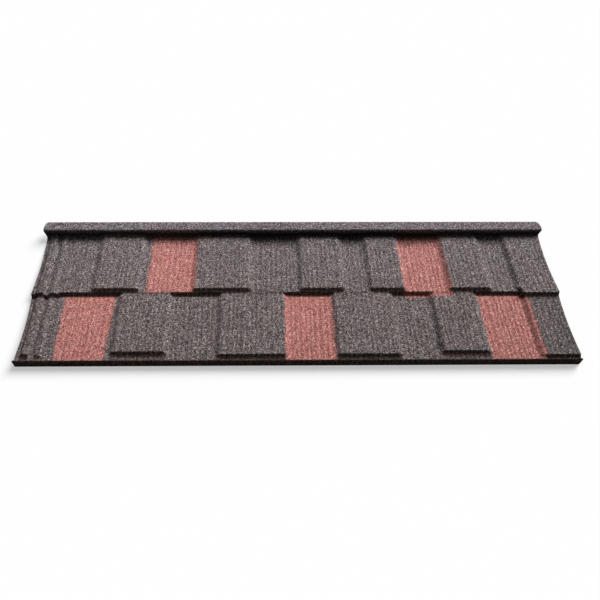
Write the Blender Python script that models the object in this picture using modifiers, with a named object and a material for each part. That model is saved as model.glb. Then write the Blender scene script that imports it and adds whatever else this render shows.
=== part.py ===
"""Stone-coated metal roofing sheet, pressed to look like two courses of laid boards.

One pressed steel sheet. Seen from the front: a turned-down nose, a front course of boards,
a step up to a back course of boards, and a head flange that stands up and runs back.
Every second board is raised, and the left end carries two lap ridges.
Metres, +Z up, +X along the roof's eaves, +Y towards the head of the sheet.
"""

import math

import bmesh
import bpy
import numpy as np
from mathutils import Matrix

# Overall sizes
SHEET_LENGTH = 1.340
SHEET_DEPTH = 0.420
SKIN = 0.002

# The section from front to back
NOSE_DROP = 0.0245
NOSE_BEND = 0.003
FLANGE_RISE = 0.027
FLANGE_DEPTH = 0.030
FLANGE_BEND = 0.004
BEND_STEPS = 3
COURSE_STEP = 0.008
FRONT_COURSE_DEPTH = 0.196
STEP_RUN = 0.008

# The boards: widths from the lap ridges towards the right end
BOARD_STEP = 0.007
WALL_RUN = 0.016
BACK_BOARDS = (0.0785, 0.114, 0.1395, 0.1435, 0.1285, 0.1105, 0.067, 0.0875, 0.115, 0.104, 0.069)
FRONT_BOARDS = (0.1505, 0.126, 0.1245, 0.162, 0.1215, 0.148, 0.101, 0.1115, 0.1215)
BACK_SETBACK = STEP_RUN
DEEP_SETBACK = 0.0195
SHALLOW_SETBACK = 0.0115
LAP_SETBACK = 0.0075
LAP_BOARD_LEAST = 0.040

# The back course's lap board reaches over the front course at the right end
TONGUE_WIDTH = 0.086
TONGUE_REACH = 0.008

# The lap ridges and their valleys from the left end inwards: (place, height)
RIDGES_WIDTH = 0.077
RIDGE_LINE = (
    (0.011, 0.0),
    (0.0245, 0.0055),
    (0.031, 0.0055),
    (0.0415, -0.003),
    (0.0515, 0.0025),
    (0.059, 0.0025),
    (0.069, -0.002),
    (RIDGES_WIDTH, 0.0),
)
RIDGE_SETBACK = 0.0115

# The press draws the ends in, most in the middle of a course
DRAW_IN_AT_NOSE = 0.001
DRAW_IN_AT_STEP = 0.004
DRAW_IN_MID_COURSE = 0.005
FLANGE_CORNER_CUTS = ((0.6, 0.001), (0.85, 0.003), (1.0, 0.009))

# How a pressed step climbs, as (share of its run, share of its height)
WALL_CURVE = ((0.0, 0.0), (0.24, 0.12), (0.76, 0.88), (1.0, 1.0))
EDGE_CURVE = ((0.0, 0.0), (0.5, 0.2), (1.0, 1.0))
LEAST_SPACING = 0.0003

BODY_DEPTH = SHEET_DEPTH - FLANGE_DEPTH
LEFT_END = -SHEET_LENGTH / 2
RIGHT_END = SHEET_LENGTH / 2
RIDGES_END = LEFT_END + RIDGES_WIDTH
STEP_FOOT = FRONT_COURSE_DEPTH - STEP_RUN / 2
TONGUE_START = RIGHT_END - TONGUE_WIDTH
TONGUE_FRONT = FRONT_COURSE_DEPTH - TONGUE_REACH - STEP_RUN / 2
COAT_COLOUR = (0.155, 0.143, 0.145, 1.0)


def clear_scene():
    for obj in list(bpy.data.objects):
        bpy.data.objects.remove(obj, do_unlink=True)


def walls_along(widths):
    """X of each wall between two boards, from left to right. The lap board takes what is left."""
    places = RIDGES_END + np.cumsum(widths)
    return [float(x) for x in places if x < RIGHT_END - LAP_BOARD_LEAST]


def raised_boards(widths, setbacks):
    """(left wall, right wall, setback) of every raised board. The first board is low, the next raised, and so on."""
    walls = walls_along(widths)
    boards = []
    for i in range(0, len(walls), 2):
        is_lap = i + 1 >= len(walls)
        right = RIGHT_END + WALL_RUN if is_lap else walls[i + 1]
        setback = setbacks[-1] if is_lap else setbacks[(i // 2) % (len(setbacks) - 1)]
        boards.append((walls[i], right, setback))
    return boards


FRONT_RAISED = raised_boards(
    FRONT_BOARDS, (DEEP_SETBACK, SHALLOW_SETBACK, SHALLOW_SETBACK, DEEP_SETBACK, LAP_SETBACK)
)
BACK_RAISED = raised_boards(BACK_BOARDS, (BACK_SETBACK, BACK_SETBACK))


def climb(value, start, run, curve):
    """0 before start, 1 after start + run, along the curve between."""
    shares, heights = zip(*curve)
    return float(np.interp((value - start) / run, shares, heights))


def climb_lines(start, run, curve):
    """Where along its run a step changes slope."""
    return {start + run * share for share, _ in curve}


def apart(places):
    """The places in order, without those that all but fall on the one before."""
    kept = []
    for place in sorted(places):
        if not kept or place - kept[-1] > LEAST_SPACING:
            kept.append(place)
    return kept


def board_lift(x, y, boards, nose):
    """How far the raised boards of one course lift the sheet at (x, y). nose is the course's front edge."""
    lift = 0.0
    for left, right, setback in boards:
        across = min(
            climb(x, left - WALL_RUN / 2, WALL_RUN, WALL_CURVE),
            1 - climb(x, right - WALL_RUN / 2, WALL_RUN, WALL_CURVE),
        )
        along = climb(y, nose + setback - STEP_RUN / 2, STEP_RUN, EDGE_CURVE)
        lift = max(lift, BOARD_STEP * across * along)
    return lift


def ridge_lift(x, y):
    """How far the lap ridges lift the sheet at (x, y): one rolled wall from each point of their line to the next."""
    lift = 0.0
    for (start, low), (end, high) in zip(RIDGE_LINE, RIDGE_LINE[1:]):
        lift += (high - low) * climb(x - LEFT_END, start, end - start, WALL_CURVE)
    return lift * climb(y, RIDGE_SETBACK - STEP_RUN, STEP_RUN, EDGE_CURVE)


def course_height(y):
    """Height of the low boards: each course climbs from its back to its nose, then steps down."""
    if y <= STEP_FOOT:
        return COURSE_STEP * (1 - y / STEP_FOOT)
    back = COURSE_STEP * (BODY_DEPTH - y) / (BODY_DEPTH - STEP_FOOT)
    return back * climb(y, STEP_FOOT, STEP_RUN, EDGE_CURVE)


def pressed_height(x, y):
    """Height of the pressed top face at (x, y)."""
    height = course_height(y)
    if y > STEP_FOOT:
        height += board_lift(x, y, BACK_RAISED, FRONT_COURSE_DEPTH)
    if y < STEP_FOOT + STEP_RUN:
        front = course_height(y) if y <= STEP_FOOT else 0.0
        height = max(height, front + board_lift(x, min(y, STEP_FOOT), FRONT_RAISED, 0.0))
    height += ridge_lift(x, y)
    if y < FRONT_COURSE_DEPTH + BACK_SETBACK + STEP_RUN / 2:
        tongue = min(
            climb(x, TONGUE_START - STEP_RUN, STEP_RUN, EDGE_CURVE),
            climb(y, TONGUE_FRONT, STEP_RUN, EDGE_CURVE),
        )
        top = COURSE_STEP + BOARD_STEP
        height += (top - height) * tongue
    return height


def bend(centre_y, centre_z, radius, start, end):
    """Points of a quarter bend from angle start to angle end, in degrees, ends included."""
    angles = np.radians(np.linspace(start, end, BEND_STEPS + 1))
    return [(centre_y + radius * math.cos(a), centre_z + radius * math.sin(a)) for a in angles]


def course_lines():
    """The y of every line across the sheet at which the pressing changes slope."""
    lines = {FRONT_COURSE_DEPTH / 2, (FRONT_COURSE_DEPTH + BODY_DEPTH) / 2}
    starts = {STEP_FOOT, TONGUE_FRONT, RIDGE_SETBACK - STEP_RUN}
    for nose, boards in ((0.0, FRONT_RAISED), (FRONT_COURSE_DEPTH, BACK_RAISED)):
        starts |= {nose + setback - STEP_RUN / 2 for _, _, setback in boards}
    for start in starts:
        lines |= climb_lines(start, STEP_RUN, EDGE_CURVE)
    return apart(y for y in lines if y > NOSE_BEND)


def section():
    """The section as (y, z, part): part is 'nose', 'board' (z is then worked out at each x), 'foot' or 'flange'."""
    points = [(0.0, COURSE_STEP - NOSE_DROP, "nose")]
    points += [(y, z, "nose") for y, z in bend(NOSE_BEND, COURSE_STEP - NOSE_BEND, NOSE_BEND, 180, 90)]
    points += [(y, 0.0, "board") for y in course_lines()]
    foot = bend(BODY_DEPTH - FLANGE_BEND, FLANGE_BEND, FLANGE_BEND, -90, 0)
    points += [(y, z, "foot") for y, z in foot]
    top = bend(BODY_DEPTH + FLANGE_BEND, FLANGE_RISE - FLANGE_BEND, FLANGE_BEND, 180, 90)
    points += [(y, z, "flange") for y, z in top]
    points += [(BODY_DEPTH + FLANGE_DEPTH * share, FLANGE_RISE, "flange") for share, _ in FLANGE_CORNER_CUTS]
    return points


def draw_in(y, part):
    """How far the press pulls the sheet's ends in at y."""
    if part == "flange":
        shares, cuts = zip(*((0.5, 0.0), *FLANGE_CORNER_CUTS))
        return float(np.interp((y - BODY_DEPTH) / FLANGE_DEPTH, shares, cuts))
    if part == "nose":
        return DRAW_IN_AT_NOSE
    if y <= FRONT_COURSE_DEPTH:
        share = y / FRONT_COURSE_DEPTH
    else:
        share = (y - FRONT_COURSE_DEPTH) / (BODY_DEPTH - FRONT_COURSE_DEPTH)
    return DRAW_IN_AT_STEP + DRAW_IN_MID_COURSE * math.sin(math.pi * min(1.0, share))


def stations():
    """The x of every line along the sheet at which the pressing changes slope."""
    places = climb_lines(TONGUE_START - STEP_RUN, STEP_RUN, EDGE_CURVE)
    for (start, _), (end, _) in zip(RIDGE_LINE, RIDGE_LINE[1:]):
        places |= climb_lines(LEFT_END + start, end - start, WALL_CURVE)
    for widths in (BACK_BOARDS, FRONT_BOARDS):
        for wall in walls_along(widths):
            places |= climb_lines(wall - WALL_RUN / 2, WALL_RUN, WALL_CURVE)
    return apart(places)


def pressed_surface():
    """The sheet's top face: its section drawn out along x, cut at the stations, then pressed."""
    bm = bmesh.new()
    rows = section()
    verts = [bm.verts.new((LEFT_END, y, z)) for y, z, _ in rows]
    edges = [bm.edges.new(pair) for pair in zip(verts, verts[1:])]
    drawn = bmesh.ops.extrude_edge_only(bm, edges=edges)["geom"]
    far = [g for g in drawn if isinstance(g, bmesh.types.BMVert)]
    bmesh.ops.translate(bm, vec=(SHEET_LENGTH, 0, 0), verts=far)
    for x in stations():
        everything = bm.verts[:] + bm.edges[:] + bm.faces[:]
        bmesh.ops.bisect_plane(bm, geom=everything, plane_co=(x, 0, 0), plane_no=(1, 0, 0), dist=1e-6)
    press(bm, rows)
    bmesh.ops.recalc_face_normals(bm, faces=bm.faces[:])
    if sum(face.normal.z * face.calc_area() for face in bm.faces) < 0:
        bmesh.ops.reverse_faces(bm, faces=bm.faces[:])
    mesh = bpy.data.meshes.new("roofing_sheet")
    bm.to_mesh(mesh)
    bm.free()
    return mesh


def press(bm, rows):
    """Moves every vertex of the flat section to its pressed place."""
    for vert in bm.verts:
        x, y, z = vert.co
        row = min(range(len(rows)), key=lambda i: abs(rows[i][0] - y) + abs(rows[i][1] - z))
        part = rows[row][2]
        if part == "board":
            vert.co.z = pressed_height(x, y)
        elif part == "foot":
            vert.co.z = z + pressed_height(x, BODY_DEPTH)
        if abs(abs(x) - SHEET_LENGTH / 2) < 1e-6:
            vert.co.x = math.copysign(SHEET_LENGTH / 2 - draw_in(y, part), x)


def coat_material():
    material = bpy.data.materials.new("stone_chip_coat")
    material.use_nodes = True
    shader = material.node_tree.nodes["Principled BSDF"]
    shader.inputs["Base Color"].default_value = COAT_COLOUR
    shader.inputs["Roughness"].default_value = 0.9
    shader.inputs["Metallic"].default_value = 0.0
    return material


def settle(obj):
    """Turns and moves the sheet to how it lies on a floor: on its nose and on the foot of its flange."""
    graph = bpy.context.evaluated_depsgraph_get()
    evaluated = obj.evaluated_get(graph)
    points = np.array([v.co for v in evaluated.data.vertices])
    front = points[np.argmin(points[:, 2] + points[:, 1] * 0.001)]
    behind = points[points[:, 1] > BODY_DEPTH / 2]
    slopes = np.arctan2(behind[:, 2] - front[2], behind[:, 1] - front[1])
    turn = Matrix.Rotation(-float(slopes.min()), 4, "X")
    turned = points @ np.array(turn.to_3x3()).T
    low, high = turned.min(axis=0), turned.max(axis=0)
    obj.rotation_euler = turn.to_euler()
    obj.location = (-(low[0] + high[0]) / 2, -(low[1] + high[1]) / 2, -low[2])


def build():
    clear_scene()
    collection = bpy.data.collections.new("metal_roofing_sheet")
    bpy.context.scene.collection.children.link(collection)
    sheet = bpy.data.objects.new("roofing_sheet", pressed_surface())
    collection.objects.link(sheet)
    sheet.data.materials.append(coat_material())
    skin = sheet.modifiers.new("skin", "SOLIDIFY")
    skin.thickness = SKIN
    skin.offset = -1
    skin.use_even_offset = True
    skin.use_quality_normals = True
    bpy.context.view_layer.update()
    settle(sheet)
    return sheet


build()
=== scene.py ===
# %% [markdown]
# # A tile effect roofing sheet with a stone chip coat
# The real part is one steel sheet, pressed to look like two courses of laid boards, then glued
# over with crushed stone. From the eaves up it has a turned-down nose, a front course, a step up
# to a back course, and a head flange that the next sheet up hooks over.
# The packed model already has that shape at its real size. This script dresses it: a finer
# surface for the sheet, loose stone that really stands on it, a sprayed red pattern, and light.

import math

import bpy
import numpy as np
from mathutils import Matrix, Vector


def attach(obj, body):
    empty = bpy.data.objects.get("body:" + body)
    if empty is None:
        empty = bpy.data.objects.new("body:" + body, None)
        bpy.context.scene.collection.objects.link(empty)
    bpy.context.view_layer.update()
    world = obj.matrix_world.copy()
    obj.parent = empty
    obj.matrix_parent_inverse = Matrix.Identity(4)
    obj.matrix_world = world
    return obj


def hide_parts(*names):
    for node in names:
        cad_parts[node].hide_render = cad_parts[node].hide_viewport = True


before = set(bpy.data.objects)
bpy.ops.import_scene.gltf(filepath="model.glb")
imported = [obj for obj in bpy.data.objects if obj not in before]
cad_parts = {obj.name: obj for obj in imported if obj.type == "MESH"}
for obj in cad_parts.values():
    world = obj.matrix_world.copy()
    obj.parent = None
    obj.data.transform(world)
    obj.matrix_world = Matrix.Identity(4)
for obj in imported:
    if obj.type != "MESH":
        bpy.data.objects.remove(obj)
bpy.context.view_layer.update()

# %% [markdown]
# ## The sheet's sizes
# Every length is in metres. They are the ones the pressed model was drawn with, so that the fine
# surface lies in the same place. Only the tongue's side, 12 mm further left here, and the front
# ends of the lap ridges and the step under them, by less than that, were fitted closer since.
# On the drawing x runs along the eaves from -0.67 to 0.67, y from the nose at 0 to the back of the
# flange at 0.42, and z up from the low boards' back edge.

# %% Sizes of the pressing
SHEET_LENGTH = 1.340
SHEET_DEPTH = 0.420
NOSE_DROP, NOSE_BEND = 0.0245, 0.003
FLANGE_RISE, FLANGE_DEPTH, FLANGE_BEND = 0.027, 0.030, 0.004
COURSE_STEP, STEP_RUN = 0.008, 0.008
FRONT_COURSE_DEPTH = 0.196
BODY_DEPTH = SHEET_DEPTH - FLANGE_DEPTH
LEFT_END, RIGHT_END = -SHEET_LENGTH / 2, SHEET_LENGTH / 2
STEP_FOOT = FRONT_COURSE_DEPTH - STEP_RUN / 2

BOARD_STEP, WALL_RUN = 0.007, 0.016
RIDGES_WIDTH = 0.077
BACK_BOARDS = (0.0785, 0.114, 0.1395, 0.1435, 0.1285, 0.1105, 0.067, 0.0875, 0.115, 0.104, 0.069)
FRONT_BOARDS = (0.1505, 0.126, 0.1245, 0.162, 0.1215, 0.148, 0.101, 0.1115, 0.1215)
BACK_SETBACK = STEP_RUN
FRONT_SETBACKS = (0.0195, 0.0115, 0.0115, 0.0195, 0.0075)

# The lap ridges and their valleys from the left end inwards, as (place, height)
RIDGE_LINE = (
    (0.011, 0), (0.0245, 0.0055), (0.031, 0.0055), (0.0415, -0.003),
    (0.0515, 0.0025), (0.059, 0.0025), (0.069, -0.002), (RIDGES_WIDTH, 0),
)
RIDGE_SETBACK, RIDGE_RUN = 0.018, 0.005
# How far the course step comes forward under the ridges, most in the valley between the two
RIDGE_REACH = (
    (0.014, 0.006), (0.026, 0.004), (0.033, 0.004), (0.044, 0.0085),
    (0.054, 0.002), (0.060, 0.002), (0.0685, 0.0035), (RIDGES_WIDTH, 0),
)
TONGUE_START = RIGHT_END - 0.098
TONGUE_FRONT = STEP_FOOT - 0.008
print("the boards cover", round(SHEET_LENGTH - RIDGES_WIDTH, 3), "m beside the lap ridges")

# %% [markdown]
# ## How a press shapes a step
# The walls between boards roll over at foot and top alike. A board's front edge is different: it
# rises out of a hollow foot and ends in a crisp line, which is what draws the dark bands under
# the boards. Both are one function of the share of the run that has been climbed.


# %% The two curves of a pressed step
def wall_curve(share):
    """An S: 3 t^2 - 2 t^3, level at foot and top."""
    return share * share * (3 - 2 * share)


def edge_curve(share):
    """Slow, then steep: t^2.2, a hollow foot that ends in a crisp top edge."""
    return share ** 2.2


def climb(value, start, run, curve):
    """0 before start, 1 after start + run, along the curve in between."""
    return curve(np.clip((value - start) / run, 0, 1))


print("half way up an edge:", round(float(climb(0.5, 0, 1, edge_curve)), 3))

# %% [markdown]
# ## Boards, ridges and courses as one height field
# Seen from above nothing on the sheet overhangs, so the whole pressing is a height that depends
# on x and y alone. Each raised board is a plateau: the product of a climb across its left wall,
# a drop across its right wall and a climb at its front edge.


# %% Where the walls stand and what each board lifts
def wall_places(widths):
    """Running sum of the widths, from the end of the lap ridges towards the right."""
    return LEFT_END + RIDGES_WIDTH + np.cumsum(widths)


def raised_boards(widths, setbacks):
    """(left wall, right wall, setback) of every second board. The last runs off the right end."""
    walls = [*wall_places(widths), RIGHT_END + WALL_RUN]
    return list(zip(walls[0::2], walls[1::2], setbacks))


BACK_RAISED = raised_boards(BACK_BOARDS, (BACK_SETBACK,) * 6)
FRONT_RAISED = raised_boards(FRONT_BOARDS, FRONT_SETBACKS)


def board_lift(x, y, boards, nose):
    """Highest plateau at (x, y): board step times left climb, right drop and front climb."""
    lift = np.zeros(np.broadcast(x, y).shape)
    for left, right, setback in boards:
        up = climb(x, left - WALL_RUN / 2, WALL_RUN, wall_curve)
        down = climb(x, right - WALL_RUN / 2, WALL_RUN, wall_curve)
        along = climb(y, nose + setback - STEP_RUN / 2, STEP_RUN, edge_curve)
        lift = np.maximum(lift, BOARD_STEP * up * (1 - down) * along)
    return lift


def ridge_lift(x, y):
    """A rolled wall from each point of the ridges' line to the next, faded in behind the nose."""
    lift = np.zeros(np.broadcast(x, y).shape)
    for (start, low), (end, high) in zip(RIDGE_LINE, RIDGE_LINE[1:]):
        lift = lift + (high - low) * climb(x - LEFT_END, start, end - start, wall_curve)
    return lift * climb(y, RIDGE_SETBACK - RIDGE_RUN, RIDGE_RUN, edge_curve)


print("raised boards in the back and front course:", len(BACK_RAISED), len(FRONT_RAISED))

# %% [markdown]
# Each course is a wedge: it climbs from its back to its front edge and then drops to the next.
# The back course's last board is a tongue that reaches over the front course at the right end.
# Along the boards runs a faint wood grain, pressed in with the same tool, about a millimetre deep.


# %% The height of the pressed face
GROOVE_PITCH, GROOVE_DEPTH = 0.012, 0.0012
# How near a wall there are no grooves, and over how far they come back
WALL_BARE, WALL_FADE = 0.004, 0.006


def near_wall(x, y):
    """1 on a wall between boards, fading to 0 at 10 mm from it: the largest of one bell a wall."""
    bell = np.zeros(np.broadcast(x, y).shape)
    for widths, here in ((FRONT_BOARDS, y <= STEP_FOOT), (BACK_BOARDS, y > STEP_FOOT)):
        for wall in wall_places(widths):
            fade = climb(np.abs(x - wall), WALL_BARE, WALL_FADE, wall_curve)
            bell = np.maximum(bell, here * (1 - fade))
    return bell


def grain_depth(x, y):
    """Wandering grooves 12 mm apart: a cosine of x, bent by slower sines. None on a wall."""
    bend = 0.8 * np.sin(x / 0.0075 + 2) + 0.9 * np.sin(x / 0.021)
    bend = bend + 0.5 * np.sin(y / 0.055 + x / 0.03)
    groove = 0.5 - 0.5 * np.cos(2 * np.pi * x / GROOVE_PITCH + bend)
    return GROOVE_DEPTH * groove * (1 - near_wall(x, y))


def pressed_height(x, y):
    """Course wedge, plus ridges and raised boards, under the tongue where that is higher."""
    front = COURSE_STEP * np.clip(1 - y / STEP_FOOT, 0, 1)
    front = front + board_lift(x, np.minimum(y, STEP_FOOT), FRONT_RAISED, 0)
    wedge = COURSE_STEP * (BODY_DEPTH - y) / (BODY_DEPTH - STEP_FOOT)
    step = STEP_FOOT - np.interp(x - LEFT_END, *zip(*RIDGE_REACH))
    back = wedge * climb(y, step, STEP_RUN, edge_curve)
    back = back + board_lift(x, y, BACK_RAISED, FRONT_COURSE_DEPTH)
    height = np.where(y <= STEP_FOOT + STEP_RUN, np.maximum(front, back), back) + ridge_lift(x, y)
    across = climb(x, TONGUE_START - STEP_RUN, STEP_RUN, edge_curve)
    tongue = across * climb(y, TONGUE_FRONT, STEP_RUN, edge_curve)
    top = np.minimum(COURSE_STEP, wedge) + BOARD_STEP
    return height + np.maximum(0, top - height) * tongue


probe_x, probe_y = np.meshgrid(np.linspace(LEFT_END, RIGHT_END, 400), np.linspace(0.01, 0.38, 200))
probe = pressed_height(probe_x, probe_y)
print("pressed height from", round(float(probe.min()), 4), "to", round(float(probe.max()), 4))

# %% [markdown]
# ## The section as a path
# The nose and the flange's riser are upright, so a plain height field can't hold them. The
# sheet is instead a strip: s is the distance walked along the section from the nose's lower edge
# over the boards to the back of the flange, and each s knows its y, its own z and how much of
# the pressed height it takes.


# %% Bends and evenly spaced rows
def quarter(centre_y, centre_z, radius, start, end, count=5):
    """Points of a bend: centre plus radius times cosine and sine of evenly spaced angles."""
    angle = np.radians(np.linspace(start, end, count))
    return np.stack([centre_y + radius * np.cos(angle), centre_z + radius * np.sin(angle)], axis=1)


def pitched(start, end, pitch):
    """Evenly spaced places from start up to but not including end."""
    return np.linspace(start, end, max(2, round((end - start) / pitch) + 1))[:-1]


print("rows of a bend:", len(quarter(0, 0, NOSE_BEND, 180, 90)))

# %% [markdown]
# Each row of the sheet's surface is one point of the section. Rows lie close where fronts and
# steps rise, and wide apart where the boards run straight and a row more would add nothing.

# %% Rows from the nose to the back of the flange
NOSE_ROWS, RISER_ROWS, FLANGE_ROWS = 6, 3, 6
FINEST, FINE, COARSE = 0.0012, 0.0015, 0.0135
FRONTS_END, STEP_END = 0.025, 0.2095

nose_height = np.linspace(COURSE_STEP - NOSE_DROP, COURSE_STEP - NOSE_BEND, NOSE_ROWS + 1)[:-1]
nose_face = np.stack([np.zeros(NOSE_ROWS), nose_height], axis=1)
nose_bend = quarter(NOSE_BEND, COURSE_STEP - NOSE_BEND, NOSE_BEND, 180, 90)
nose = np.concatenate([nose_face, nose_bend])
board_y = np.concatenate([
    pitched(NOSE_BEND + FINE, FRONTS_END, FINE),
    pitched(FRONTS_END, TONGUE_FRONT - FINE, COARSE),
    pitched(TONGUE_FRONT - FINE, STEP_FOOT, FINE),
    pitched(STEP_FOOT, STEP_FOOT + STEP_RUN, FINEST),
    pitched(STEP_FOOT + STEP_RUN, STEP_END, FINE),
    pitched(STEP_END, BODY_DEPTH - FLANGE_BEND, COARSE),
])
boards = np.stack([board_y, np.zeros_like(board_y)], axis=1)
foot = quarter(BODY_DEPTH - FLANGE_BEND, FLANGE_BEND, FLANGE_BEND, -90, 0)
top_bend = quarter(BODY_DEPTH + FLANGE_BEND, FLANGE_RISE - FLANGE_BEND, FLANGE_BEND, 180, 90)
riser = np.linspace(foot[-1], top_bend[0], RISER_ROWS + 2)[1:-1]
flange_y = np.linspace(BODY_DEPTH + 2 * FLANGE_BEND, SHEET_DEPTH, FLANGE_ROWS)
flange = np.stack([flange_y, np.full(FLANGE_ROWS, FLANGE_RISE)], axis=1)
path = np.concatenate([nose, boards, foot, riser, top_bend, flange])
print("the section has", len(path), "rows")

# %% [markdown]
# The distance walked is the running sum of the steps from row to row. The nose is drawn on the
# front course's wedge, so it gives that height back, and takes the pressed height whole. On the
# flange's riser the pressed height fades out, since the flange itself is flat.

# %% Distance walked, own height and share of the pressed height
path_s = np.concatenate([[0], np.cumsum(np.linalg.norm(np.diff(path, axis=0), axis=1))])
in_nose = np.arange(len(path)) < len(nose)
path_z = path[:, 1] - in_nose * COURSE_STEP * (1 - path[:, 0] / STEP_FOOT)
riser_run = FLANGE_RISE - 2 * FLANGE_BEND
path_press = np.clip((FLANGE_RISE - FLANGE_BEND - path[:, 1]) / riser_run, 0, 1)
path_press[in_nose] = 1
S_NOSE = float(path_s[len(nose) - 1])
S_STEP = float(np.interp(STEP_FOOT, path[:, 0], path_s))
S_FOOT = float(path_s[len(nose) + len(boards)])
S_RISER = float(path_s[-len(flange) - len(top_bend)])
S_UPRIGHT = (S_FOOT + S_RISER) / 2
S_BACK = float(path_s[-1])
print("the section is", round(S_BACK, 4), "m long, the course step stands at", round(S_STEP, 4))

# %% [markdown]
# The press also draws the ends in a little, most in the middle of each course, and the flange's
# back corners are snipped. Only the last three centimetres at each end move. With that, any place
# on the strip is a point: x along the eaves, y from the section, and the section's own height plus
# its share of the pressed height.

# %% The strip in the drawing
END_ZONE = 0.030
NOSE_TRIM, COURSE_TRIM, COURSE_WAIST = 0.001, 0.004, 0.005
# Distance along the section, and how much of the course's trim is reached there
TRIM_FADE = ((S_NOSE, 0), (S_NOSE + 0.004, 0.999))
# Place behind the boards, and how far the snipped corner comes in there
CORNER_SNIP = ((0.015, 0), (0.018, 0.001), (0.0255, 0.003), (0.030, 0.009))
# Over how far the grooves fade in behind the nose, and out before the flange's foot
GROOVES_START, GROOVES_STOP = 0.006, 0.004


def section_y(s):
    """y of the drawing at s along the section."""
    return np.interp(s, path_s, path[:, 0])


def draw_in(s):
    """How far the ends come in at s: a half sine over each course, and a snipped flange corner."""
    y = section_y(s)
    in_front = np.clip(y / FRONT_COURSE_DEPTH, 0, 1)
    in_back = np.clip((y - FRONT_COURSE_DEPTH) / (BODY_DEPTH - FRONT_COURSE_DEPTH), 0, 1)
    share = np.where(y <= FRONT_COURSE_DEPTH, in_front, in_back)
    course = COURSE_TRIM + COURSE_WAIST * np.sin(np.pi * share)
    corner = np.interp(y - BODY_DEPTH, *zip(*CORNER_SNIP))
    at_nose = NOSE_TRIM + (course - NOSE_TRIM) * np.interp(s, *zip(*TRIM_FADE))
    late = np.interp(s, (S_FOOT, S_RISER), (1, 0))
    return np.where(s < TRIM_FADE[-1][0], at_nose, course * late + corner * (1 - late))


def strip_point(x, s, grooved=1):
    """(x, y, z): the section's height plus its share of the pressed one, less the grooves."""
    y = section_y(s)
    past = np.maximum(0, np.abs(x) - (RIGHT_END - END_ZONE))
    x = np.sign(x) * (np.abs(x) - past * draw_in(s) / END_ZONE)
    press = np.interp(s, path_s, path_press)
    on_boards = climb(s, S_NOSE, GROOVES_START, wall_curve)
    on_boards = on_boards * climb(-s, -S_FOOT, GROOVES_STOP, wall_curve)
    z = np.interp(s, path_s, path_z) + press * pressed_height(x, np.minimum(y, BODY_DEPTH))
    z = z - grooved * on_boards * grain_depth(x, y)
    return np.stack(np.broadcast_arrays(x, y, z), axis=-1)


print("ends come in by", round(float(draw_in(np.array(S_STEP / 2))) * 1000, 1), "mm in mid course")

# %% [markdown]
# Stone stands square on the surface it is glued to, so every place needs its normal too. And the
# sheet doesn't lie level: unheld it rests on its nose and on the foot of the flange, so everything
# is tipped by 1.7 degrees, as the packed model is.

# %% The strip's normals, and the strip as it rests
NORMAL_REACH = 0.0005
REST_TILT = math.radians(-1.68822)
REST_PLACE = np.array([0, -0.2100635, 0.0165518])


def strip_normal(x, s):
    """Upward normal: the cross product of the strip's slopes along x and s, measured 1 mm apart."""
    along_x = strip_point(x + NORMAL_REACH, s) - strip_point(x - NORMAL_REACH, s)
    ahead, behind = np.minimum(s + NORMAL_REACH, S_BACK), np.maximum(s - NORMAL_REACH, 0)
    normal = np.cross(along_x, strip_point(x, ahead) - strip_point(x, behind))
    return normal / np.linalg.norm(normal, axis=-1, keepdims=True)


def at_rest(points):
    """Turns about x by the rest tilt, then moves to the resting place."""
    x, y, z = np.moveaxis(points, -1, 0)
    c, s = math.cos(REST_TILT), math.sin(REST_TILT)
    return np.stack([x, y * c - z * s, y * s + z * c], axis=-1) + REST_PLACE


at_nose, at_back = at_rest(strip_point(np.zeros(2), np.array([0, S_BACK])))
print("at rest from", np.round(at_nose, 4).tolist(), "to", np.round(at_back, 4).tolist())

# %% [markdown]
# ## Putting arrays into a mesh
# Blender takes whole arrays at once through foreach_set. The helper below makes a mesh from
# points and from faces that may have three or four corners each, and marks it smooth or flat.


# %% A mesh from arrays
def array_mesh(name, points, faces, smooth):
    """A new object from (n, 3) points and a list of (m, corners) face arrays."""
    mesh = bpy.data.meshes.new(name)
    corners = np.concatenate([f.ravel() for f in faces])
    sizes = np.concatenate([np.full(len(f), f.shape[1]) for f in faces])
    mesh.vertices.add(len(points))
    mesh.vertices.foreach_set("co", points.astype(np.float32).ravel())
    mesh.loops.add(len(corners))
    mesh.loops.foreach_set("vertex_index", corners.astype(np.int32))
    mesh.polygons.add(len(sizes))
    mesh.polygons.foreach_set("loop_start", (np.cumsum(sizes) - sizes).astype(np.int32))
    mesh.polygons.foreach_set("use_smooth", np.full(len(sizes), smooth))
    mesh.update(calc_edges=True)
    mesh.validate()
    made = bpy.data.objects.new(name, mesh)
    bpy.context.scene.collection.objects.link(made)
    return made


def triangles(made):
    """How many triangles an object's mesh comes to."""
    sizes = np.empty(len(made.data.polygons), np.int32)
    made.data.polygons.foreach_get("loop_total", sizes)
    return int((sizes - 2).sum())


packed = [made for made in bpy.context.scene.objects if made.type == "MESH"]
print("the packed model has", sum(triangles(made) for made in packed), "triangles")

# %% [markdown]
# ## The sprayed pattern
# Five boards are sprayed red through a mask before the glue dries, so the edge of the colour is
# a soft few millimetres wide and not always on the board's own wall. One function gives the share
# of red stone at any place. The sheet's own coat and the loose stone both ask it.

# %% Share of red stone over the sheet
# Each zone: left and right at the course's back, left and right at its front, front y, back y
RED_ZONES = (
    (-0.378, -0.259, -0.380, -0.254, 0.1985, 0.3870),
    (0.277, 0.393, 0.275, 0.397, 0.1860, 0.3870),
    (-0.581, -0.453, -0.576, -0.459, 0.0020, 0.1930),
    (-0.029, 0.090, -0.031, 0.0885, 0.0020, 0.1930),
    (0.459, 0.586, 0.457, 0.584, 0.0020, 0.1930),
)
SPRAY_EDGE, SPRAY_END, SPRAY_WAVER = 0.005, 0.002, 0.0013


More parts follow.
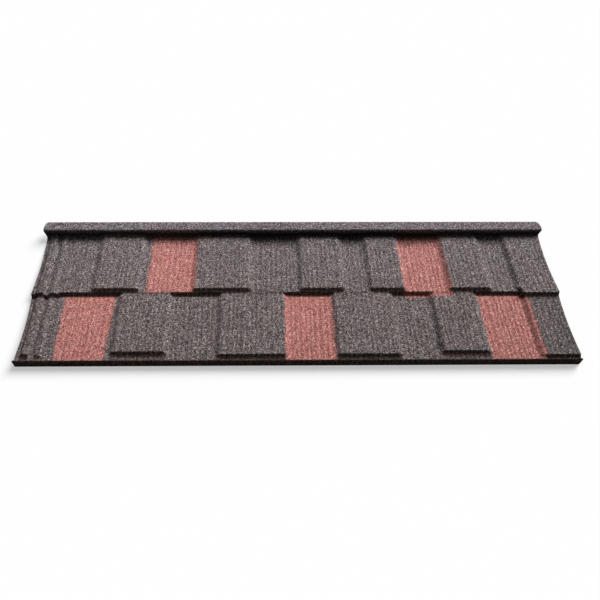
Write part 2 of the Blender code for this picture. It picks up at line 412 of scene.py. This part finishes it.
def red_share(x, y):
    """Product of four soft climbs, one at each side of a zone, whose sides lean and waver."""
    share = np.zeros(np.broadcast(x, y).shape)
    x = x + SPRAY_WAVER * (np.sin(y / 0.0041 + 40 * x) + np.sin(y / 0.0113 + 9))
    for back_left, back_right, front_left, front_right, near, far in RED_ZONES:
        run = np.clip((y - near) / (far - near), 0, 1)
        left = front_left + (back_left - front_left) * run
        right = front_right + (back_right - front_right) * run
        inside = climb(x, left - SPRAY_EDGE / 2, SPRAY_EDGE, wall_curve)
        inside = inside * (1 - climb(x, right - SPRAY_EDGE / 2, SPRAY_EDGE, wall_curve))
        inside = inside * climb(y, near - SPRAY_END / 2, SPRAY_END, wall_curve)
        inside = inside * (1 - climb(y, far - SPRAY_END / 2, SPRAY_END, wall_curve))
        share = np.maximum(share, inside)
    on_tongue = climb(x, TONGUE_START - STEP_RUN, STEP_RUN, edge_curve) * (y > TONGUE_FRONT)
    return share * (1 - on_tongue)


mid_board = float(red_share(np.array(0.03), np.array(0.1)))
print("red zones:", len(RED_ZONES), "and the share of red in the middle board is", mid_board)

# %% [markdown]
# The stone isn't equally bright all over. The nose faces forwards, away from the lamp, and carries
# darker, browner painted shade, darkest on its top bend, and the flange's upright carries almost
# black painted shade. Walls that look left carry painted light towards the left end and painted
# shade towards the right. The head flange is a little paler and cooler than the boards, and the lap
# board and the outer lap ridge are darker. Places and tones stand in short tables, with straight
# lines in between.

# %% Tone of the stone by place, with painted light and shade
# Distance along the section, and the tone there for red, green and blue, painted shade included
# on the nose and the flange's upright
SECTION_TONES_AND_SHADE = (
    (S_NOSE - 0.004, (0.82, 0.67, 0.54)),
    (S_NOSE - 0.001, (0.35, 0.32, 0.29)),
    (S_NOSE + 0.002, (0.82, 0.78, 0.76)),
    (S_STEP, (0.93, 0.89, 0.87)),
    (S_FOOT, (1.04, 1.02, 1.03)),
    (S_UPRIGHT, (0.05, 0.055, 0.045)),
    (S_RISER, (1.13, 1.11, 1.19)),
)
# Painted light and shade on a wall that looks left, at places along the eaves, and how steep such a
# wall is
LEFT_WALL_LIGHT_AND_SHADE = ((-0.52, 1.18), (-0.15, 1.03), (0.19, 1.0), (0.36, 0.82))
LEFT_WALL_FROM, LEFT_WALL_RUN = 0.10, 0.35
# Tone of the lap ridges at places from the left end inwards
RIDGE_TONES = ((0.034, 0.84), (0.044, 0.93), (0.061, 0.93), (RIDGES_WIDTH, 1))
LAP_BOARD_TONE = 0.84


def section_tone_and_shade(s):
    """Red, green and blue tone at s, painted shade included, straight lines between the stops."""
    stops, tones = zip(*SECTION_TONES_AND_SHADE)
    return np.stack([np.interp(s, stops, channel) for channel in zip(*tones)], axis=-1)


def place_tone_and_wall_light(x, s):
    """Product of the painted light and shade on walls that look left, the lap ridges' tone and the lap
    board's.
    """
    on_boards = (s > S_NOSE) & (s < S_FOOT)
    leftward = climb(-strip_normal(x, s)[..., 0], LEFT_WALL_FROM, LEFT_WALL_RUN, wall_curve)
    wall = 1 + leftward * on_boards * (np.interp(x, *zip(*LEFT_WALL_LIGHT_AND_SHADE)) - 1)
    ridges = np.where(on_boards, np.interp(x - LEFT_END, *zip(*RIDGE_TONES)), 1)
    lap = climb(x, FRONT_RAISED[-1][0], WALL_RUN, wall_curve) * (s < S_STEP)
    return wall * ridges * (1 - lap * (1 - LAP_BOARD_TONE))


print("tone of the flange:", np.round(section_tone_and_shade(S_BACK), 2).tolist())

# %% [markdown]
# The foot of an upright face carries painted shadow, cast forwards from the face. Behind the nose,
# in front of its raised boards, that painted shadow runs out a good centimetre; behind the step it
# is short. Where the red spray reaches in, most of the painted shadow is taken away. The flange's
# upright casts painted shadow on the boards in front of it too, the low ones further out than the
# raised ones. With the tones it becomes one multiplier for red, green and blue, and the coat and
# the loose stone share it.

# %% Painted shadow in front of upright faces
# Distance in front of an upright face, and the share of brightness the painted shadow takes there
PAINTED_SHADOW_SHARES = (
    (0, 0.42), (0.002, 0.68), (0.004, 0.84), (0.0065, 0.8),
    (0.0085, 0.66), (0.012, 0.42), (0.016, 0.4),
)
# The painted shadow takes a little more green and blue than red, so it looks brown
PAINTED_SHADOW_TINT = np.array([0.95, 1.03, 1.08])
STEEP_FROM, STEEP_RUN = 0.08, 0.45
LONG_SHADOW, SHORT_SHADOW = 0.016, 0.004
# Distance along the section, and how far painted shadows run out there
SHADOW_REACH = (
    (S_NOSE - 0.004, 0), (S_NOSE - 0.002, LONG_SHADOW), (S_NOSE + 0.025, LONG_SHADOW),
    (S_NOSE + 0.03, SHORT_SHADOW), (S_STEP + 0.022, SHORT_SHADOW), (S_STEP + 0.03, 0),
)
# How much of the painted shadow the red spray takes away near the nose
RED_SHADOW_CUT = 0.8
# Distance in front of the flange's upright, and the share of brightness its painted shadow leaves
# there
RAISED_FOOT_SHADOW = ((0.001, 0.35), (0.004, 0.45), (0.008, 0.7), (0.014, 1))
LOW_FOOT_SHADOW = ((0.004, 0.4), (0.014, 0.45), (0.018, 0.53), (0.026, 0.7), (0.036, 1))
# Place along the eaves, and how much of that painted shadow holds there
FOOT_SHADOW_HOLDS = ((-0.45, 0), (-0.25, 0.7), (-0.05, 1), (0.3, 1), (0.5, 0.6))


def painted_shadow_share(x, s):
    """Painted shadow: the largest of a few looks ahead, each times how far that face looks forwards.
    """
    reach = np.interp(s, *zip(*SHADOW_REACH))
    bare = np.zeros(np.broadcast(x, s).shape)
    for ahead, darkening in PAINTED_SHADOW_SHARES:
        forward = -strip_normal(x, np.minimum(s + ahead, S_BACK))[..., 1]
        steep = climb(forward, STEEP_FROM, STEEP_RUN, wall_curve)
        bare = np.maximum(bare, darkening * steep * (ahead <= reach))
    return bare * (1 - RED_SHADOW_CUT * red_share(x, section_y(s)) * (s < S_NOSE + LONG_SHADOW))


def light_left_by_foot_shadow(x, s):
    """Brightness left under the upright's painted shadow: the raised boards' table and the low ones',
    mixed by lift.
    """
    raised = board_lift(x, section_y(s), BACK_RAISED, FRONT_COURSE_DEPTH) / BOARD_STEP
    on_raised, on_low = (np.interp(S_FOOT - s, *zip(*table)) for table in (RAISED_FOOT_SHADOW, LOW_FOOT_SHADOW))
    left = raised * on_raised + (1 - raised) * on_low
    return 1 - (1 - left) * np.interp(x, *zip(*FOOT_SHADOW_HOLDS)) * (s < S_UPRIGHT)


def stone_tone(x, s):
    """Tones of section and place, times the brightness that the painted shadows of hollow and foot
    leave.
    """
    even = place_tone_and_wall_light(x, s) * light_left_by_foot_shadow(x, s)
    return section_tone_and_shade(s) * even[..., None] * (1 - painted_shadow_share(x, s)[..., None] * PAINTED_SHADOW_TINT)


middle = stone_tone(np.array([0.2]), np.array([S_STEP / 2]))
print("tone in the front course:", np.round(middle, 2).tolist())

# %% [markdown]
# ## The sheet itself
# One closed skin stands in for the packed solid. Its weather side lies half a millimetre under
# the model's face, which leaves room for the loose stone to stand within the real size. Its
# underside is the ungrooved strip pushed down along the normals, and a rim closes the four edges.

# %% Make the closed skin
COAT_INSET, UNDERSIDE_INSET = 0.0005, 0.0019
COLUMN_PITCH = 0.0025

columns = np.linspace(LEFT_END, RIGHT_END, round(SHEET_LENGTH / COLUMN_PITCH) + 1)
grid_x, grid_s = np.meshgrid(columns, path_s)
face = strip_point(grid_x, grid_s)
normal = strip_normal(grid_x, grid_s)
weather_side = at_rest(face - COAT_INSET * normal).reshape(-1, 3)
underside = at_rest(strip_point(grid_x, grid_s, 0) - UNDERSIDE_INSET * normal).reshape(-1, 3)
rows, cols = grid_x.shape
index = np.arange(rows * cols).reshape(rows, cols)


def quads(grid):
    """Four corners of every cell of an index grid, counter-clockwise seen from above."""
    around = [grid[:-1, :-1], grid[:-1, 1:], grid[1:, 1:], grid[1:, :-1]]
    return np.stack(around, axis=-1).reshape(-1, 4)


def rim(edge):
    """Quads from a run of weather-side points down to the same points of the underside."""
    under = edge + rows * cols
    return np.stack([edge[:-1], under[:-1], under[1:], edge[1:]], axis=-1)


coat_faces = quads(index)
under_faces = quads(index)[:, ::-1] + rows * cols
edges = (index[0], index[:, -1], index[-1, ::-1], index[::-1, 0])
rim_faces = np.concatenate([rim(edge) for edge in edges])
both_sides = np.concatenate([weather_side, underside])
sheet = array_mesh("pressed_sheet", both_sides, [coat_faces, rim_faces, under_faces], True)
print("pressed_sheet:", triangles(sheet), "triangles")

# %% [markdown]
# The pattern and the tones, painted light and shade included, are kept on the sheet's points as two
# attributes, which its material reads. The red spray also reaches a little over the nose's bend and
# up the foot of the flange.

# %% Give the skin its pattern and its tones, painted shade included
SPRAY_FROM, SPRAY_TO = S_NOSE - 0.002, S_FOOT + 0.003
share = sheet.data.attributes.new("red_share", "FLOAT", "POINT")
strip_red = red_share(face[..., 0], face[..., 1]) * (grid_s > SPRAY_FROM) * (grid_s < SPRAY_TO)
share.data.foreach_set("value", np.tile(strip_red.ravel(), 2).astype(np.float32))
tone = sheet.data.attributes.new("stone_tone", "FLOAT_COLOR", "POINT")
strip_tone_and_shade = np.ones((rows * cols, 4))
strip_tone_and_shade[:, :3] = stone_tone(grid_x, grid_s).reshape(-1, 3)
tone.data.foreach_set("color", np.tile(strip_tone_and_shade, (2, 1)).astype(np.float32).ravel())
print("red share of the whole strip:", round(float(strip_red.mean()), 3))

# %% [markdown]
# ## Shader maths as plain expressions
# A node tree is a formula drawn as boxes. The class below holds one output of a node, so that
# `a * 0.3 + b` adds the two Math nodes itself, and `node` adds any other kind.


# %% One output of a node, with arithmetic
class Wire:
    """A node's output. Arithmetic on it adds Math nodes to its tree."""

    def __init__(self, tree, socket=None):
        self.tree, self.socket = tree, socket

    def node(self, kind, settings=None, inputs=None, output=0):
        """Adds a node, applies its settings, sets or links its sockets and returns one output."""
        made = self.tree.nodes.new(kind)
        for name, value in (settings or {}).items():
            if name == "stops":
                ramp = made.color_ramp
                while len(ramp.elements) < len(value):
                    ramp.elements.new(1.0)
                for element, (position, colour) in zip(ramp.elements, value):
                    element.position, element.color = position, (*colour, 1)
            elif name == "interpolation":
                made.color_ramp.interpolation = value
            else:
                setattr(made, name, value)
        for name, value in (inputs or {}).items():
            if isinstance(value, Wire):
                self.tree.links.new(value.socket, made.inputs[name])
            else:
                made.inputs[name].default_value = value
        return Wire(self.tree, made.outputs[output] if made.outputs else None)

    def maths(self, operation, *values):
        """A Math node on wires and numbers."""
        return self.node("ShaderNodeMath", {"operation": operation}, dict(enumerate(values)))

    def __add__(self, other):
        return self.maths("ADD", self, other)

    def __mul__(self, other):
        return self.maths("MULTIPLY", self, other)

    def __sub__(self, other):
        return self.maths("SUBTRACT", self, other)

    def __rsub__(self, other):
        return self.maths("SUBTRACT", other, self)

    def __gt__(self, other):
        return self.maths("GREATER_THAN", self, other)

    __radd__, __rmul__ = __add__, __mul__

    def mix(self, first, second):
        """Colour mix with this wire as the factor."""
        return self.node("ShaderNodeMix", {"data_type": "RGBA"}, {0: self, 6: first, 7: second}, 2)

    def times(self, other):
        """This colour times another, channel by channel."""
        settings = {"data_type": "RGBA", "blend_type": "MULTIPLY"}
        return self.node("ShaderNodeMix", settings, {0: 1.0, 6: self, 7: other}, 2)


def new_material(name):
    """A material with its Principled shader, and a Wire to start from."""
    material = bpy.data.materials.new(name)
    material.use_nodes = True
    return material, material.node_tree.nodes["Principled BSDF"], Wire(material.node_tree)


def plug(wire, shader, socket):
    """Links a wire to one of the shader's sockets."""
    wire.tree.links.new(wire.socket, shader.inputs[socket])


def grey(level):
    """A colour whose three channels are the same level."""
    return level.node("ShaderNodeCombineColor", inputs={0: level, 1: level, 2: level})


print("a wire has:", [name for name in vars(Wire) if not name.startswith("_")])

# %% [markdown]
# ## Stone colours
# The charcoal blend is mostly dark and mid grey basalt with some brown and a few pale grains.
# The red blend is glazed brick and rose grains with a few dark ones. Each is a list of linear
# colours with the share of grains that have it, so the same list serves the loose stone, which
# picks one colour a grain, and the coat's shader, which picks one a cell.

# %% The two blends
CHARCOAL_BLEND = (
    (0.24, (0.030, 0.024, 0.024)),
    (0.22, (0.082, 0.068, 0.070)),
    (0.22, (0.160, 0.139, 0.143)),
    (0.10, (0.215, 0.150, 0.130)),
    (0.15, (0.330, 0.296, 0.310)),
    (0.07, (0.530, 0.478, 0.490)),
)
RED_BLEND = (
    (0.10, (0.153, 0.057, 0.052)),
    (0.17, (0.260, 0.080, 0.070)),
    (0.22, (0.408, 0.132, 0.114)),
    (0.25, (0.525, 0.215, 0.193)),
    (0.19, (0.663, 0.330, 0.302)),
    (0.07, (0.796, 0.508, 0.465)),
)


def stops_of(blend):
    """Ramp stops at the running sum of the shares, so that each colour is as wide as its share."""
    starts = np.cumsum([0, *(share for share, _ in blend)])[:-1]
    return [(float(start), colour) for start, (_, colour) in zip(starts, blend)]


def picked_from(blend, number):
    """The colour of the stretch of the ramp that the wire's random number falls in."""
    settings = {"stops": stops_of(blend), "interpolation": "CONSTANT"}
    return number.node("ShaderNodeValToRGB", settings, {"Fac": number})


for title, blend in (("charcoal", CHARCOAL_BLEND), ("red", RED_BLEND)):
    shares, colours = zip(*blend)
    print(title, "mean colour", np.round(np.average(colours, axis=0, weights=shares), 3).tolist())

# %% [markdown]
# ## The coat between the loose stones
# Grit about two millimetres across fills the gaps. A Voronoi texture gives cells of that size.
# Each cell's random colour picks a stone from the blend, another of its channels decides whether
# the cell is red where the two sprays meet, and its distance is the grain's round shape as bump.
# A slower noise gathers the cells in lighter and darker clumps.

# %% Material of the coat
GRIT_A_METRE, CLUMPS_A_METRE = 520.0, 260.0
# The noise times the gain, less the rest, so that its middle comes to 1
CLUMP_GAIN, CLUMP_LESS = 3.0, 0.5

coat, shader, start = new_material("stone_chip_coat")
place = start.node("ShaderNodeTexCoord", output="Object")
GRIT = {"Vector": place, "Scale": GRIT_A_METRE, "Randomness": 1.0}
cell = start.node("ShaderNodeTexVoronoi", inputs=GRIT, output="Color")
pick, spray, polish = (
    start.node("ShaderNodeSeparateColor", inputs={"Color": cell}, output=channel)
    for channel in range(3)
)
distance = start.node("ShaderNodeTexVoronoi", inputs=GRIT, output="Distance")
charcoal, red = picked_from(CHARCOAL_BLEND, pick), picked_from(RED_BLEND, pick)
share = start.node("ShaderNodeAttribute", {"attribute_name": "red_share"}, output="Fac")
# The chance stays a little off 0 and 1, so that it never overrules a share of 0 or 1
is_red = share > spray * 0.98 + 0.01
CLUMPS = {"Vector": place, "Scale": CLUMPS_A_METRE, "Detail": 2.0}
clumps = start.node("ShaderNodeTexNoise", inputs=CLUMPS) * CLUMP_GAIN - CLUMP_LESS
# The tone attribute brings the painted light and shade along with the stone's own tone
tone = start.node("ShaderNodeAttribute", {"attribute_name": "stone_tone"}, output="Color")
plug(is_red.mix(charcoal, red).times(grey(clumps)).times(tone), shader, "Base Color")
plug(polish * 0.2 + 0.75, shader, "Roughness")
shader.inputs["Specular IOR Level"].default_value = 0.2
ROUND = {"Height": 1 - distance, "Strength": 0.7, "Distance": 0.0008}
plug(start.node("ShaderNodeBump", inputs=ROUND), shader, "Normal")
print("stone_chip_coat:", len(coat.node_tree.nodes), "nodes")

# %% [markdown]
# ## The bare underside
# The back of such a sheet keeps its mill finish: steel with an aluminium and zinc coating, whose
# crystals show as faint bright and dull flakes. It isn't seen from above, so it is kept simple:
# Voronoi cells shift the brightness and the roughness a little.

# %% Material of the underside
FLAKES_A_METRE = 120.0
DULL_FLAKE, BRIGHT_FLAKE = (0.46, 0.47, 0.48, 1), (0.60, 0.61, 0.62, 1)

bare, shader, start = new_material("mill_finish_back")
place = start.node("ShaderNodeTexCoord", output="Object")
FLAKES = {"Vector": place, "Scale": FLAKES_A_METRE}
flake = start.node("ShaderNodeTexVoronoi", inputs=FLAKES, output="Color")
level = start.node("ShaderNodeSeparateColor", inputs={"Color": flake})
plug(level.mix(DULL_FLAKE, BRIGHT_FLAKE), shader, "Base Color")
plug(level * 0.15 + 0.38, shader, "Roughness")
shader.inputs["Metallic"].default_value = 0.9
print("mill_finish_back:", len(bare.node_tree.nodes), "nodes")

# %% [markdown]
# The weather side and the rim take the coat, the underside its own finish. The sheet then takes
# the place of the packed solid: it moves with the same body and shows in its stead.

# %% Put both materials on, and let the sheet stand for the packed node
sheet.data.materials.append(coat)
sheet.data.materials.append(bare)
slots = np.zeros(len(coat_faces) + len(rim_faces) + len(under_faces), np.int32)
slots[-len(under_faces):] = 1
sheet.data.polygons.foreach_set("material_index", slots)
print("faces with the coat:", int((slots == 0).sum()), "bare:", int(slots.sum()))
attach(sheet, "root")
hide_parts("roofing_sheet")

# %% [markdown]
# ## Loose stone
# The coarse grains are real geometry: crushed stone with flat facets. A grain is a small pyramid
# with an uneven base sunk in the coat and a tip off its middle, five points and six triangles,
# so that more than ninety thousand of them stay light. They are laid one to a cell of a grid over
# the strip and shaken inside the cell, which spreads them more evenly than pure chance would.

# %% Lay the grains
GRAIN_PITCH = 0.0026
GRAIN_SIZE = 0.0015
GRAIN_TIP, GRAIN_SINK = 0.00048, 0.0001
GRAIN_MARGIN, BACK_MARGIN = 0.0015, 0.0012
# Shares of the pitch, of a quarter turn and of the grain's size
SHAKE, CORNER_SHAKE, LEAN = 0.45, 0.25, 0.35
# Smallest and largest share of the grain's size, of a corner's reach and of the tip's height
SIZES, REACHES, TIPS = (0.65, 1.25), (0.7, 1.1), (0.5, 1.0)

chance = np.random.default_rng(7)
across = np.arange(LEFT_END + GRAIN_MARGIN, RIGHT_END - GRAIN_MARGIN, GRAIN_PITCH)
along = np.arange(GRAIN_MARGIN, S_BACK - BACK_MARGIN, GRAIN_PITCH)
grain_x, grain_s = (g.ravel() for g in np.meshgrid(across, along))
grain_x = grain_x + chance.uniform(-SHAKE, SHAKE, grain_x.shape) * GRAIN_PITCH
grain_s = grain_s + chance.uniform(-SHAKE, SHAKE, grain_s.shape) * GRAIN_PITCH


def grain_points(x, s):
    """Five points a grain: four corners on the strip round its seat, and a tip along the normal."""
    up = strip_normal(x, s)
    turn = chance.uniform(0, 2 * np.pi, len(x))
    size = GRAIN_SIZE * chance.uniform(*SIZES, len(x))
    points = np.empty((len(x), 5, 3))
    for corner in range(4):
        angle = turn + (corner + chance.uniform(-CORNER_SHAKE, CORNER_SHAKE, len(x))) * np.pi / 2
        reach = size * chance.uniform(*REACHES, len(x))
        corner_x = np.clip(x + reach * np.cos(angle), LEFT_END, RIGHT_END)
        corner_s = np.clip(s + reach * np.sin(angle), 0, S_BACK)
        points[:, corner] = strip_point(corner_x, corner_s) - (COAT_INSET + GRAIN_SINK) * up
    lean_x, lean_s = LEAN * size * chance.uniform(-1, 1, (2, len(x)))
    tip = GRAIN_TIP * chance.uniform(*TIPS, (len(x), 1)) - COAT_INSET
    points[:, 4] = strip_point(x + lean_x, s + lean_s) + tip * up
    return at_rest(points)


print("grains:", len(grain_x))

# %% [markdown]
# The grains are shared out by where the factory sprays them: charcoal on the nose and the head
# flange, on the front course and on the back course, and red on the masked boards. Each lot is
# one joined mesh. A grain's colour is drawn from its blend, takes the tone of its place with its
# painted light and shade, and is kept as a colour attribute.

# %% Sort the grains and pick their colours
# Off 0 and 1 for the same reason as in the coat
CHANCES = (0.02, 0.98)
BRIGHTNESSES = (0.8, 1.2)

seat = strip_point(grain_x, grain_s)
on_boards = (grain_s > S_NOSE - 0.001) & (grain_s < S_FOOT + 0.002)
is_red = red_share(seat[:, 0], seat[:, 1]) > chance.uniform(*CHANCES, len(grain_x))
is_red = is_red & on_boards
in_front = grain_s < S_STEP
LOTS = {
    "charcoal_grains_nose_and_head": ~is_red & ~on_boards,
    "charcoal_grains_front_course": ~is_red & on_boards & in_front,
    "charcoal_grains_back_course": ~is_red & on_boards & ~in_front,
    "red_grains": is_red,
}


def grain_colours(blend, x, s):
    """One colour a grain, picked by share, times its own brightness and the tone of its place, painted
    light and shade included.
    """
    shares, colours = zip(*blend)
    pick = chance.choice(len(shares), len(x), p=np.array(shares) / sum(shares))
    picked = np.array(colours)[pick]
    own = chance.uniform(*BRIGHTNESSES, (len(x), 1))
    toned = picked * own * stone_tone(x, s)
    return np.concatenate([np.clip(toned, 0, 1), np.ones((len(x), 1))], axis=1)


for name, chosen in LOTS.items():
    print(name, int(chosen.sum()), "grains")

# %% [markdown]
# A broken stone is a little blotchy and dusty. A noise finer than the grain itself varies its
# brightness and roughness and dents its facets; the colour is the one kept on its points.

# %% Material of the loose stone
SPECKS_A_METRE = 1800.0

stone, shader, start = new_material("loose_stone")
own_colour = start.node("ShaderNodeAttribute", {"attribute_name": "grain_colour"}, output="Color")
place = start.node("ShaderNodeTexCoord", output="Object")
SPECKS = {"Vector": place, "Scale": SPECKS_A_METRE, "Detail": 2.0}
speck = start.node("ShaderNodeTexNoise", inputs=SPECKS)
plug(own_colour.times(grey(speck * 0.9 + 0.55)), shader, "Base Color")
plug(speck * 0.3 + 0.6, shader, "Roughness")
shader.inputs["Specular IOR Level"].default_value = 0.25
DENTS = {"Height": speck, "Strength": 0.4, "Distance": 0.0003}
plug(start.node("ShaderNodeBump", inputs=DENTS), shader, "Normal")
print("loose_stone:", len(stone.node_tree.nodes), "nodes")

# %% [markdown]
# Every grain has the same faces, four sides up to the tip and a base, so a lot's face list is one
# grain's list plus five for each grain before it. The base keeps each grain a closed body.

# %% Make the lots
GRAIN_SIDES = np.array([[0, 1, 4], [1, 2, 4], [2, 3, 4], [3, 0, 4]])
GRAIN_BASE = np.array([[3, 2, 1, 0]])
for name, chosen in LOTS.items():
    points = grain_points(grain_x[chosen], grain_s[chosen])
    count = len(points)
    first = (np.arange(count) * 5)[:, None, None]
    sides = (GRAIN_SIDES[None] + first).reshape(-1, 3)
    base = (GRAIN_BASE[None] + first).reshape(-1, 4)
    lot = array_mesh(name, points.reshape(-1, 3), [sides, base], False)
    blend = RED_BLEND if name == "red_grains" else CHARCOAL_BLEND
    colours = grain_colours(blend, grain_x[chosen], grain_s[chosen])
    layer = lot.data.attributes.new("grain_colour", "FLOAT_COLOR", "POINT")
    layer.data.foreach_set("color", np.repeat(colours, 5, axis=0).astype(np.float32).ravel())
    lot.data.materials.append(stone)
    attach(lot, "root")
    print(name, triangles(lot), "triangles")

# %% [markdown]
# ## Floor and light
# The sheet lies on a plain white floor, a single large quad. It shows white to the camera but
# throws little light back, so that the nose stays as dark as on the real picture.

# %% Floor
FLOOR_REACH = 6.0
PAPER_WHITE, GLOW_SHARE, FLOOR_THROW = 0.98, 0.44, 0.12


def flat_grey(level):
    """The colour whose three channels are at one level."""
    return (level, level, level, 1)


corners = FLOOR_REACH * np.array([[-1, -1, 0], [1, -1, 0], [1, 1, 0], [-1, 1, 0]])
floor = array_mesh("floor", corners, [np.array([[0, 1, 2, 3]])], False)
paper = bpy.data.materials.new("white_paper")
paper.use_nodes = True
paper.node_tree.nodes.clear()
start = Wire(paper.node_tree)
seen = start.node("ShaderNodeLightPath", output="Is Camera Ray")
white = start.node("ShaderNodeBsdfDiffuse", inputs={"Color": flat_grey(PAPER_WHITE)})
glow = start.node("ShaderNodeEmission", inputs={"Color": flat_grey(1), "Strength": 1.0})
pale = start.node("ShaderNodeMixShader", inputs={0: GLOW_SHARE, 1: white, 2: glow})
dark = start.node("ShaderNodeBsdfDiffuse", inputs={"Color": flat_grey(FLOOR_THROW)})
shown = start.node("ShaderNodeMixShader", inputs={0: seen, 1: dark, 2: pale})
start.node("ShaderNodeOutputMaterial", inputs={"Surface": shown})
floor.data.materials.append(paper)
print("floor:", 2 * FLOOR_REACH, "m wide")

# %% [markdown]
# One large soft lamp shines from behind the sheet and from its right, which leaves everything
# that faces forwards dark. A sun lamp with a wide angle is the simplest such light: it has the
# same strength everywhere, and its angle alone sets how soft the shadows are. The world adds a
# little light from all sides, and shows white to the camera.

# %% Light and world
SUN_STRENGTH, SUN_SOFTNESS = 4.45, 35
SUN_FROM = Vector((0.85, 0.90, 1.0))
AMBIENT = 0.12
sun = bpy.data.objects.new("soft_key", bpy.data.lights.new("soft_key", "SUN"))
sun.data.energy = SUN_STRENGTH
sun.data.angle = math.radians(SUN_SOFTNESS)
sun.rotation_euler = SUN_FROM.to_track_quat("Z", "Y").to_euler()
bpy.context.scene.collection.objects.link(sun)

world = bpy.data.worlds.new("studio")
bpy.context.scene.world = world
world.use_nodes = True
world.node_tree.nodes.clear()
start = Wire(world.node_tree)
seen = start.node("ShaderNodeLightPath", output="Is Camera Ray")
dim = start.node("ShaderNodeBackground", inputs={"Color": flat_grey(1), "Strength": AMBIENT})
bright = start.node("ShaderNodeBackground", inputs={"Color": flat_grey(1), "Strength": 1.0})
shown = start.node("ShaderNodeMixShader", inputs={0: seen, 1: dim, 2: bright})
start.node("ShaderNodeOutputWorld", inputs={"Surface": shown})
print("sun at", round(math.degrees(math.asin(SUN_FROM.normalized().z))), "degrees above the floor")

# %% [markdown]
# ## Camera
# The photograph looks down at about 55 degrees from a little left of the middle. Its place and
# lens were worked out from the sheet's own edges. The camera looks straight ahead from there, and
# a small shift of the lens brings the sheet to the middle of the picture.

# %% Camera
CAMERA_PLACE = (-0.0882, -0.8755, 1.2784)
CAMERA_TURN = (33.696, -0.590, -0.583)
LENS, LENS_SHIFT = 36.314, 0.05
camera = bpy.data.objects.new("camera", bpy.data.cameras.new("camera"))
camera.location = CAMERA_PLACE
camera.rotation_euler = [math.radians(a) for a in CAMERA_TURN]
camera.data.lens = LENS
camera.data.shift_x = LENS_SHIFT
bpy.context.scene.collection.objects.link(camera)
bpy.context.scene.camera = camera
bpy.context.scene.view_settings.view_transform = "Standard"
print("camera:", round(Vector(CAMERA_PLACE).length, 2), "m from the sheet's middle")

# %% [markdown]
